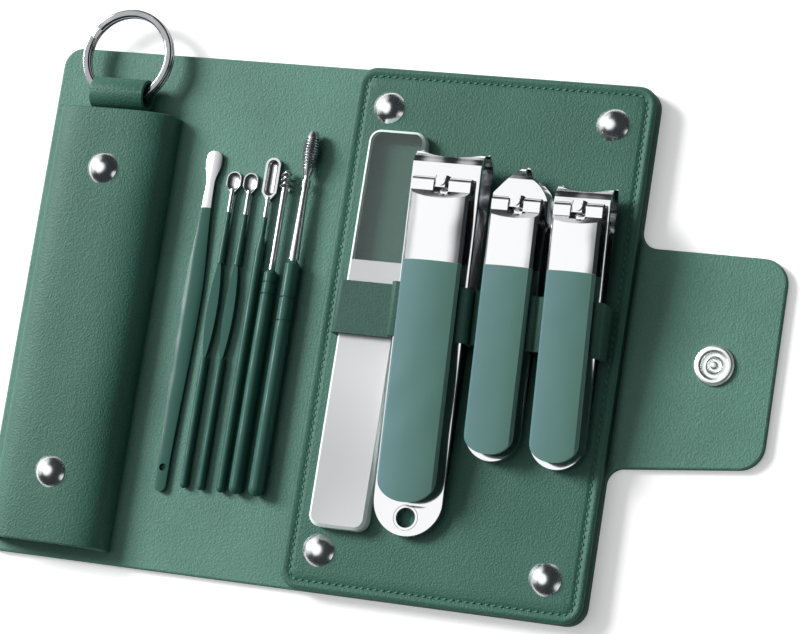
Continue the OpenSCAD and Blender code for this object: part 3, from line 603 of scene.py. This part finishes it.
def leather_slab(outline: Sequence[Vector], thickness: float, rounding: float, seam_x: float,
                 cuts: Iterable[float]) -> BMesh:
    """A flat piece of leather with rounded edges, cut across so that it can bend.

    Args:
        outline: Its outline on the table, anticlockwise.
        thickness: Thickness of the leather.
        rounding: Radius of its edges.
        seam_x: Place along +X of the straight side that meets its neighbour, which stays square.
        cuts: Places along +X of the lines on which it can bend.

    Returns:
        The piece's mesh, from the table up.
    """
    mesh = bmesh.new()
    base = mesh.faces.new([mesh.verts.new(p) for p in outline])
    top = bmesh.ops.extrude_face_region(mesh, geom=[base])["geom"]
    for vert in (v for v in top if isinstance(v, BMVert)):
        vert.co.z += thickness
    bmesh.ops.recalc_face_normals(mesh, faces=mesh.faces)
    rims = [e for e in mesh.edges
            if abs(e.verts[0].co.z - e.verts[1].co.z) < SAME_PLACE
            and any(abs(v.co.x - seam_x) > SAME_PLACE for v in e.verts)]
    bmesh.ops.bevel(mesh, geom=rims, offset=rounding, segments=BEVEL_STEPS, profile=0.5,
                    affect="EDGES")
    for x in cuts:
        bmesh.ops.bisect_plane(mesh, geom=mesh.verts[:] + mesh.edges[:] + mesh.faces[:],
                               plane_co=(x, 0, 0), plane_no=(1, 0, 0))
    return mesh


def paint_edges(piece: Object, edge_material: Material, height: float) -> None:
    """Gives the upright faces of a piece of leather a second finish: the paint of a cut edge, or
    painted shade.

    Args:
        piece: The piece.
        edge_material: Finish of the edge.
        height: Faces whose normal rises less than this count as edge.
    """
    piece.data.materials.append(edge_material)
    for face in piece.data.polygons:
        if abs(face.normal.z) < height:
            face.material_index = 1


@dataclass
class Finishes:
    """All finishes that more than one sub-assembly uses, each built once."""

    leather: Material = field(default_factory=Leather().build)
    panel: Material = field(default_factory=Leather(
        name="embossed_panel_leather", colour="#2b5648", pale="#416f61", roughness=0.5).build)
    band: Material = field(default_factory=Leather(
        name="smooth_band_leather", colour="#25473e", pale="#3a6256", depth=0.06 * MM).build)
    edge: Material = field(default_factory=EdgePaint().build)
    # Painted shade: the tool panel's upright sides get a near-black colour that stands in for the
    # shade they lie in.
    painted_shade_sides: Material = field(default_factory=EdgePaint(
        name="painted_shade_panel_sides", colour="#15302a", pale="#1f3f36").build)
    thread: Material = field(default_factory=Thread().build)
    chrome: Material = field(default_factory=Chrome().build)
    steel: Material = field(default_factory=Chrome(
        name="satin_plated_steel", colour="#b4b6b8", roughness=0.3, marks=0.6 * MM).build)
    trim: Material = field(default_factory=Chrome(
        name="polished_nickel_caps", colour="#eef0f1", roughness=0.2).build)
    snap: Material = field(default_factory=Chrome(
        name="satin_nickel_snap", colour="#e4e8e6", roughness=0.36).build)
    ring: Material = field(default_factory=Chrome(
        name="nickel_plated_wire", colour="#97999b", roughness=0.16, marks=0.6 * MM).build)
    board: Material = field(default_factory=Board().build)


def dress(nodes: Iterable[str], material: Material) -> None:
    """Gives solids their finish.

    Args:
        nodes: Names of the solids.
        material: The finish.
    """
    for name in nodes:
        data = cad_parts[name].data
        data.materials.clear()
        data.materials.append(material)
    log.info("dressed %s", ", ".join(nodes))


@dataclass
class Cover:
    """The cover's leather: three pieces, each cut across at one fold, seamed where it stays flat.

    Attributes:
        rounding: Radius of the leather's cut edges.
        edge_rise: Faces whose normal rises less than this are painted edge.
        fillet: Radius of the inner corners at the flap's root.
        flap_taper: How far the flap's lower side rises towards its end.
        taper_turn: Angle at which the lower corner's arc leaves that side, in degrees.
        bend: Half the width of the band of cut lines beside the panel and at the flap.
        tight_bend: The same at the outer fold.
        lines: Number of cut lines on each side of a fold.
        lines_in_bend: Number of those that lie within the bend's half width.
    """

    finishes: Finishes
    corner: float = 4.4 * MM
    rounding: float = 0.45 * MM
    edge_rise: float = 0.35
    fillet: float = 3.6 * MM
    flap_corner: float = 5.4 * MM
    flap_taper: float = 2.4 * MM
    taper_turn: float = -88
    bend: float = 1.2 * MM
    tight_bend: float = 0.5 * MM
    lines: int = 5
    lines_in_bend: int = 4

    def columns(self, fold: float, reach: float) -> list[float]:
        """Places of the cut lines at a fold."""
        return [fold + reach * i / self.lines_in_bend for i in range(-self.lines, self.lines + 1)]

    def finish(self, name: str, mesh: BMesh, nodes: tuple[str, ...]) -> Object:
        """Turns a mesh into a piece of the cover.

        Args:
            name: The piece's name.
            mesh: Its shape.
            nodes: The solids that it stands for.

        Returns:
            The piece.
        """
        piece = make_object(name, mesh, self.finishes.leather)
        paint_edges(piece, self.finishes.edge, self.edge_rise)
        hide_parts(*nodes)
        log.info("cover piece %s", name)
        return piece

    def build(self) -> None:
        """Builds the three pieces, each cut across at its fold."""
        spine_low, spine_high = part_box("cover_spine")
        left_low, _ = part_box("cover_left")
        right_low, right_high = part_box("cover_right")
        flap_low, flap_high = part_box("cover_flap")
        panel_low, panel_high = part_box("panel_skin")
        y0, y1, thick = spine_low[1], spine_high[1], spine_high[2]
        fold_b, fold_a, fold_c = spine_low[0], spine_high[0], right_high[0]
        spine_mid = (fold_a + fold_b) / 2
        panel_mid = (panel_low[0] + panel_high[0]) / 2
        r = self.corner

        left = (arc((left_low[0] + r, y1 - r), r, 90, 180)
                + arc((left_low[0] + r, y0 + r), r, 180, 270)
                + [Vector((spine_mid, y0, 0)), Vector((spine_mid, y1, 0))])
        mesh = leather_slab(left, thick, self.rounding, spine_mid,
                            self.columns(fold_b, self.tight_bend))
        piece = self.finish("cover_leather_left", mesh, ("cover_left",))
        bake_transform(piece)

        middle = [Vector((spine_mid, y1, 0)), Vector((spine_mid, y0, 0)),
                  Vector((panel_mid, y0, 0)), Vector((panel_mid, y1, 0))]
        mesh = leather_slab(middle, thick, self.rounding, spine_mid,
                            self.columns(fold_a, self.bend))
        piece = self.finish("cover_leather_middle", mesh, ("cover_spine",))
        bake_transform(piece)

        edge_x, q, f = panel_high[0], self.fillet, self.flap_corner
        flap_y0, flap_y1 = flap_low[1] + q, flap_high[1] - q
        low_end = flap_y0 + self.flap_taper
        right = ([Vector((panel_mid, y0, 0))] + arc((edge_x - r, y0 + r), r, -90, 0)
                 + arc((edge_x + q, flap_y0 - q), q, 180, 90)
                 + arc((flap_high[0] - f, low_end + f), f, self.taper_turn, 0)
                 + arc((flap_high[0] - f, flap_y1 - f), f, 0, 90)
                 + arc((edge_x + q, flap_y1 + q), q, 270, 180)
                 + arc((edge_x - r, y1 - r), r, 0, 90) + [Vector((panel_mid, y1, 0))])
        mesh = leather_slab(right, thick, self.rounding, panel_mid, self.columns(fold_c, self.bend))
        piece = self.finish("cover_leather_right", mesh, ("cover_right", "cover_flap"))
        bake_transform(piece)


@dataclass
class ToolPanel:
    """The padded panel: leather pulled over a board, with one row of stitches round it.

    Attributes:
        edge_rise: Faces whose normal rises less than this are the panel's sides, which get painted
            shade.
        foot_in: How far the foot of the upright side lies in from it.
        stitch_in: Distance of the stitches from the edge.
        seam: Shape of the groove: distances from the stitches, and their share of its depth.
        roll_out: How far the leather's edge goes past the solid, towards the spine.
        seam_out: How far the seam does.
    """

    finishes: Finishes
    corner: float = 4.4 * MM
    edge: float = 1.0 * MM
    edge_steps: int = 4
    edge_rise: float = 0.4
    foot_in: float = 0.25 * MM
    foot_up: float = 0.35 * MM
    stitch_in: float = 2.1 * MM
    groove: float = 0.36 * MM
    seam: tuple[tuple[float, float], ...] = (
        (-0.9 * MM, 0.1), (-0.5 * MM, 0.45), (0.0, 1.0), (0.5 * MM, 0.45), (0.9 * MM, 0.1),
        (2.4 * MM, 0.0))
    stitch_pitch: float = 1.55 * MM
    stitch_length: float = 1.1 * MM
    thread: float = 0.44 * MM
    roll_out: float = 1.0 * MM
    seam_out: float = 0.7 * MM

    def skin(self, low: Vector, high: Vector) -> Object:
        """Builds the leather, with a rolled edge and a pulled-in line where it is sewn.

        Args:
            low: Lowest corner of the solid's box.
            high: Its highest corner.

        Returns:
            The piece.
        """
        top = high.z
        outer = low - Vector((self.roll_out, 0, 0))
        rings = [rounded_ring(outer, high, self.corner, self.foot_in, low.z),
                 rounded_ring(outer, high, self.corner, 0, low.z + self.foot_up)]
        for step in range(self.edge_steps + 1):
            turn = math.radians(90 * step / self.edge_steps)
            rings.append(rounded_ring(outer, high, self.corner, self.edge * (1 - math.cos(turn)),
                                      top - self.edge * (1 - math.sin(turn))))
        sewn = low - Vector((self.seam_out, 0, 0))
        for away, share in self.seam:
            rings.append(rounded_ring(sewn, high, self.corner, self.stitch_in + away,
                                      top - share * self.groove))
        piece = make_object("panel_leather", loft(rings), self.finishes.panel)
        # The sides get a near-black colour: painted shade.
        paint_edges(piece, self.finishes.painted_shade_sides, self.edge_rise)
        return piece

    def stitches(self, low: Vector, high: Vector) -> Object:
        """Builds the row of stitches, each a short thread that dips at both ends.

        Args:
            low: Lowest corner of the solid's box.
            high: Its highest corner.

        Returns:
            The piece.
        """
        sewn = low - Vector((self.seam_out, 0, 0))
        path = rounded_ring(sewn, high, self.corner, self.stitch_in, high.z)
        path.append(path[0])
        lengths = [(b - a).length for a, b in zip(path, path[1:])]
        total = sum(lengths)
        count = round(total / self.stitch_pitch)
        mesh = bmesh.new()
        for index in range(count):
            middle, along = point_on(path, lengths, total * (index + 0.5) / count)
            add_stitch(mesh, middle, along, self.stitch_length, self.thread, self.groove)
        return make_object("panel_stitches", mesh, self.finishes.thread)

    def build(self) -> None:
        """Builds the skin and its stitches."""
        low, high = (Vector(corner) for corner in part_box("panel_skin"))
        skin = self.skin(low, high)
        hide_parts("panel_skin")
        for piece in (skin, self.stitches(low, high)):
            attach(piece, Body.BASE.value)
            log.info("panel piece %s", piece.name)
        dress(["panel_board"], self.finishes.board)


def point_on(path: Sequence[Vector], lengths: Sequence[float],
             distance: float) -> tuple[Vector, Vector]:
    """Finds a point and its direction on a path.

    Args:
        path: The path's corners.
        lengths: Length of each of its stretches.
        distance: Distance from the start.

    Returns:
        The point and the unit vector along the path there.
    """
    for a, b, length in zip(path, path[1:], lengths):
        if distance <= length and length > 0:
            return a.lerp(b, distance / length), (b - a).normalized()
        distance -= length
    return path[-1].copy(), (path[-1] - path[-2]).normalized()


# A stitch: stations along its length, sides of the thread, and what each does to its shape.
STATIONS = (-0.5, -0.38, -0.15, 0.15, 0.38, 0.5)
THREAD_SIDES = 6
THREAD_UP = 0.30
THREAD_DIP = 0.55
THREAD_SLANT = 0.5
THREAD_TIP = 0.08


def add_stitch(mesh: BMesh, middle: Vector, along: Vector, length: float, thick: float,
               sunk: float) -> None:
    """Adds one stitch to a mesh: a thread that slants a little, dips and tapers at both ends.

    Args:
        mesh: Mesh that gets it.
        middle: The stitch's middle, on the leather's surface.
        along: Direction of the seam.
        length: Length of the stitch.
        thick: Thickness of the thread.
        sunk: Depth of the seam's groove.
    """
    up = Vector((0, 0, 1))
    side = up.cross(along)
    angles = [math.radians(360 / THREAD_SIDES * k) for k in range(THREAD_SIDES)]
    rings: list[list[Vector]] = []
    for t in STATIONS:
        radius = thick / 2 * math.sqrt(max(THREAD_TIP, 1 - (2 * t) ** 4))
        lift = -sunk + thick * THREAD_UP - (2 * t) ** 2 * thick * THREAD_DIP
        centre = middle + along * (length * t) + side * (t * thick * THREAD_SLANT) + up * lift
        rings.append([centre + side * (radius * math.cos(a)) + up * (radius * math.sin(a))
                      for a in angles])
    add_skin(mesh, rings)


@dataclass
class SoftGoods:
    """The smaller leather pieces: the band over the tools and the roll of the key ring."""

    finishes: Finishes
    rounding: float = 0.28 * MM

    def build(self) -> None:
        """Builds each piece with softened edges."""
        for node, name, body, leather in (
                ("tool_strap", "tool_band", Body.BASE, self.finishes.band),
                ("ring_strap", "key_ring_roll", Body.LEFT, self.finishes.panel)):
            piece = softened_copy(node, name, self.rounding, leather)
            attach(piece, body.value)
            log.info("leather piece %s", name)


@dataclass
class Sleeve:
    """The sleeve on the left half: one piece of leather, arched, fuller on its left shoulder.

    Attributes:
        left_shoulder: Power of the superellipse left of the crown. A higher one is squarer.
        right_shoulder: Power right of the crown.
        softening: Rounding of the cut ends.
    """

    finishes: Finishes
    wall: float = 1.4 * MM
    left_shoulder: float = 4.2
    right_shoulder: float = 3.1
    softening: float = 0.25 * MM
    steps: int = 40

    def arch(self, low: Vector, high: Vector, inset: float, y: float) -> list[Vector]:
        """Points of one arch, from its right foot over the crown to its left foot.

        Args:
            low: Lowest corner of the sleeve's box.
            high: Its highest corner.
            inset: Distance by which the arch lies inside the box.
            y: Place along the sleeve.

        Returns:
            The points.
        """
        middle, half = (low.x + high.x) / 2, (high.x - low.x) / 2 - inset
        rise = high.z - low.z - inset
        points: list[Vector] = []
        for step in range(self.steps + 1):
            turn = math.pi * step / self.steps
            across, up = math.cos(turn), max(math.sin(turn), 0.0)
            power = 2 / (self.right_shoulder if across > 0 else self.left_shoulder)
            points.append(Vector((middle + math.copysign(half * abs(across) ** power, across), y,
                                  low.z + rise * up ** power)))
        return points

    def build(self) -> None:
        """Builds the sleeve, open at both ends, with its cut edges a little rounded."""
        low, high = (Vector(corner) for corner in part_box("sleeve"))
        ends = ((low.y, self.softening), (low.y + self.softening, 0.0),
                (high.y - self.softening, 0.0), (high.y, self.softening))
        rings = []
        for y, inset in ends:
            inside = self.arch(low, high, self.wall - inset, y)
            rings.append(self.arch(low, high, inset, y) + inside[::-1])
        piece = make_object("leather_sleeve", loft(rings), self.finishes.panel)
        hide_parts("sleeve")
        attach(piece, Body.LEFT.value)
        log.info("leather piece %s", piece.name)


@dataclass
class Clippers:
    """The three nail clippers: chrome arms and pins, and levers with an enamelled grip.

    Attributes:
        bare_ends: Length of each lever's upper end that stays bright.
    """

    finishes: Finishes
    bare_ends: dict[str, float] = field(default_factory=lambda: {
        "large": 18.0 * MM, "diagonal": 14.9 * MM, "small": 14.9 * MM})

    def build(self) -> None:
        """Dresses every part of the clippers. Each grip is enamelled up to a masked line."""
        for size, bare in self.bare_ends.items():
            dress([f"{size}_{part}" for part in ("lower_arm", "upper_arm", "eyelet", "pin_post")],
                  self.finishes.chrome)
            low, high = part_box(f"{size}_lever")
            # Each lever's enamel carries a painted reflection: bluer towards its left side.
            coat = Enamel(f"enamelled_{size}_lever", high[1] - bare, low[0], high[0])
            dress([f"{size}_lever"], coat.build())


@dataclass
class EarTools:
    """The six ear tools: enamelled handles with bright heads.

    Attributes:
        heads: Length of the bright head of each tool that is made in one piece.
        picks: The tools whose head is a shaft of its own.
        no_head: Length that puts a handle's masked line far beyond it.
    """

    finishes: Finishes
    heads: dict[str, float] = field(default_factory=lambda: {
        "ear_spatula": 12.8 * MM, "ear_scoop_left": 9.2 * MM, "ear_scoop_right": 9.4 * MM,
        "ear_spoon": 13.4 * MM})
    picks: tuple[str, ...] = ("screw_pick", "ribbed_pick")
    no_head: float = -1.0
    colour: str = "#31584e"
    # Painted reflection: the handles' colour turns paler towards their left side.
    painted_reflection: str = "#385f57"
    gloss: float = 0.2
    steel: str = "#b4b6b8"
    satin: float = 0.3

    def enamel(self, node: str, name: str, bare: float) -> None:
        """Enamels one tool from its lower end up to a masked line.

        Args:
            node: The solid.
                bare: Length of the upper end that stays bright.
        """
        low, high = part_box(node)
        coat = Enamel(name, high[1] - bare, low[0], high[0], colour=self.colour, painted_reflection=self.painted_reflection,
                      gloss=self.gloss, chrome=self.steel, satin=self.satin)
        dress([node], coat.build())

    def build(self) -> None:
        """Dresses the tools."""
        for node, bare in self.heads.items():
            self.enamel(node, f"enamelled_{node}", bare)
        for pick in self.picks:
            self.enamel(f"{pick}_handle", f"enamelled_{pick}", self.no_head)
            dress([f"{pick}_shaft"], self.finishes.steel)


@dataclass
class Hardware:
    """Rivets, snap, key ring and the glass file."""

    finishes: Finishes
    clear_length: float = 29.0 * MM

    def build(self) -> None:
        """Dresses the metal trim and the file."""
        dress(["panel_rivets", "sleeve_rivets"], self.finishes.trim)
        dress(["snap_socket", "snap_cap", "snap_stud"], self.finishes.snap)
        dress(["key_ring"], self.finishes.ring)
        _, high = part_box("glass_file")
        dress(["glass_file"], FileGlass(high[1] - self.clear_length).build())


@dataclass(frozen=True)
class LightPatch:
    """A soft bright patch of the studio's sky.

    Attributes:
        towards: Direction of its middle.
        edge: Cosine of the angle from there at which it has faded out.
        middle: Cosine of the angle within which it is whole.
    """

    towards: Vector
    edge: float
    middle: float
    level: float


@dataclass
class Studio:
    """Pale floor, soft light and the camera at the photograph's angle.

    Attributes:
        patches: The bright patches: a large one overhead, a wall and a window.
        dark: Colour of the sky between them.
        floor_lift: Light that the camera, metal and glass see in the floor.
        backdrop_lift: The same for the backdrop.
        floor_drop: How far the floor lies below the case.
        room: Half the floor's width.
        backdrop_share: Its distance, as a share of the room.
    """

    camera_at: Vector = field(default_factory=lambda: Vector((0.24111, -0.10322, 0.63773)))
    aim: Vector = field(default_factory=lambda: Vector((0.00453, -0.00135, 0.005)))
    roll: float = -59.27
    lens: float = 143.92
    sensor: float = 36
    near: float = 0.05
    patches: tuple[LightPatch, ...] = field(default_factory=lambda: (
        LightPatch(Vector((-0.36, 0.05, 0.93)), edge=0.84, middle=0.95, level=1.0),
        LightPatch(Vector((-0.85, 0.35, 0.35)), edge=0.70, middle=0.88, level=0.6),
        LightPatch(Vector((0.89, -0.36, 0.28)), edge=0.95, middle=0.98, level=0.7)))
    dark: str = "#2a2e30"
    bright: str = "#ffffff"
    sky_strength: float = 1.2
    board: str = "#f6f6f5"
    board_roughness: float = 0.9
    floor_lift: float = 0.35
    backdrop_lift: float = 0.55
    floor_drop: float = 0.05 * MM
    room: float = 6.4
    backdrop: float = 0.55
    backdrop_share: float = 0.95
    backdrop_steps: int = 64
    lamp_at: tuple[float, float, float] = (-2.60, 1.00, 1.86)
    lamp_size: float = 1.18
    lamp_watts: float = 150.0

    def camera(self) -> None:
        """Places the camera. Its roll turns the case's long side as in the photograph."""
        data = bpy.data.cameras.new("camera")
        data.lens = self.lens
        data.sensor_width = self.sensor
        data.clip_start = self.near
        piece = bpy.data.objects.new("camera", data)
        bpy.context.scene.collection.objects.link(piece)
        towards = (self.aim - self.camera_at).to_track_quat("-Z", "Y")
        piece.rotation_mode = "QUATERNION"
        piece.rotation_quaternion = towards @ Quaternion((0, 0, 1), math.radians(self.roll))
        piece.location = self.camera_at
        bpy.context.scene.camera = piece

    def pale(self, name: str, lift: float) -> Material:
        """Makes matt pale board, which looks white but keeps the case's shadow.

        Args:
            name: The material's name.
            lift: Light that only the camera, metal and glass see in it.

        Returns:
            The material.
        """
        material, tree, _ = new_material(name)
        rays = add_node(tree, "LightPath")
        direct = add_node(tree, "Math", {"operation": "ADD"},
                          {0: (rays, "Is Camera Ray"), 1: (rays, "Is Glossy Ray")})
        seen = add_node(tree, "Math", {"operation": "ADD"},
                        {0: (direct, 0), 1: (rays, "Is Transmission Ray")})
        lifted = add_node(tree, "Math", {"operation": "MULTIPLY", 1: lift}, {0: (seen, 0)})
        finish_with(tree, add_node(
            tree, "BsdfPrincipled",
            {"Base Color": linear(self.board), "Roughness": self.board_roughness,
             "Emission Color": linear(self.bright)},
            {"Emission Strength": (lifted, 0)}))
        return material

    def stage(self, name: str, mesh: BMesh, lift: float) -> None:
        """Adds one piece of the studio, which isn't part of the case.

        Args:
            name: The piece's name.
            mesh: Its shape. It is freed here.
            lift: Light that only the camera, metal and glass see in it.
        """
        data = bpy.data.meshes.new(name)
        mesh.to_mesh(data)
        mesh.free()
        data.materials.append(self.pale(f"pale_{name}", lift))
        piece = bpy.data.objects.new(name, data)
        bpy.context.scene.collection.objects.link(piece)

    def floor(self) -> None:
        """Lays the pale floor and sets a low pale backdrop far round it, for low views."""
        mesh = bmesh.new()
        bmesh.ops.create_grid(mesh, x_segments=1, y_segments=1, size=self.room)
        bmesh.ops.translate(mesh, vec=(0, 0, -self.floor_drop), verts=mesh.verts)
        self.stage("floor", mesh, self.floor_lift)
        mesh = bmesh.new()
        round_case = arc((0, 0), self.room * self.backdrop_share, 0, 360, self.backdrop_steps)
        foot = [mesh.verts.new(p) for p in round_case]
        head = [mesh.verts.new(v.co + Vector((0, 0, self.backdrop))) for v in foot]
        for i in range(len(foot) - 1):
            mesh.faces.new((foot[i], foot[i + 1], head[i + 1], head[i]))
        self.stage("backdrop", mesh, self.backdrop_lift)

    def lamp(self) -> None:
        """Hangs the softbox on the left, so that it faces the case."""
        data = bpy.data.lights.new("side_softbox", "AREA")
        data.size = self.lamp_size
        data.energy = self.lamp_watts
        piece = bpy.data.objects.new("side_softbox", data)
        piece.location = self.lamp_at
        piece.rotation_euler = (-Vector(self.lamp_at)).to_track_quat("-Z", "Y").to_euler()
        bpy.context.scene.collection.objects.link(piece)

    def world(self) -> None:
        """Sets the sky: soft bright patches over a dark tone, which give the metal its contrast."""
        world = bpy.data.worlds.new("studio")
        bpy.context.scene.world = world
        world.use_nodes = True
        tree = world.node_tree
        tree.nodes.clear()
        place = add_node(tree, "TexCoord")
        lit: Node | None = None
        for patch in self.patches:
            angle = add_node(tree, "VectorMath",
                             {"operation": "DOT_PRODUCT", 1: patch.towards.normalized()},
                             {0: (place, "Generated")})
            shine = add_node(
                tree, "MapRange",
                {**SMOOTH, "From Min": patch.edge, "From Max": patch.middle, "To Max": patch.level},
                {"Value": (angle, "Value")})
            lit = shine if lit is None else add_node(
                tree, "Math", {"operation": "MAXIMUM"}, {0: (lit, 0), 1: (shine, 0)})
        tone = add_node(tree, "Mix",
                        {**COLOURS, MIX_A: linear(self.dark), MIX_B: linear(self.bright)},
                        {"Factor": (lit, 0)})
        back = add_node(tree, "Background", {"Strength": self.sky_strength},
                        {"Color": (tone, MIX_RESULT)})
        add_node(tree, "OutputWorld", {}, {"Surface": (back, 0)})

    def build(self) -> None:
        """Sets up the whole studio."""
        bpy.context.scene.view_settings.view_transform = "Standard"
        self.camera()
        self.floor()
        self.world()
        self.lamp()
        log.info("studio ready")


def main() -> None:
    """Builds the case piece by piece."""
    logging.basicConfig(level=logging.INFO, format="%(name)s: %(message)s")
    finishes = Finishes()
    builders: tuple[Callable[[], None], ...] = (
        Studio().build, Cover(finishes).build, ToolPanel(finishes).build,
        SoftGoods(finishes).build, Sleeve(finishes).build, Clippers(finishes).build,
        EarTools(finishes).build, Hardware(finishes).build)
    for build in builders:
        build()
    log.info("sizes written")


if __name__ == "__main__":
    main()
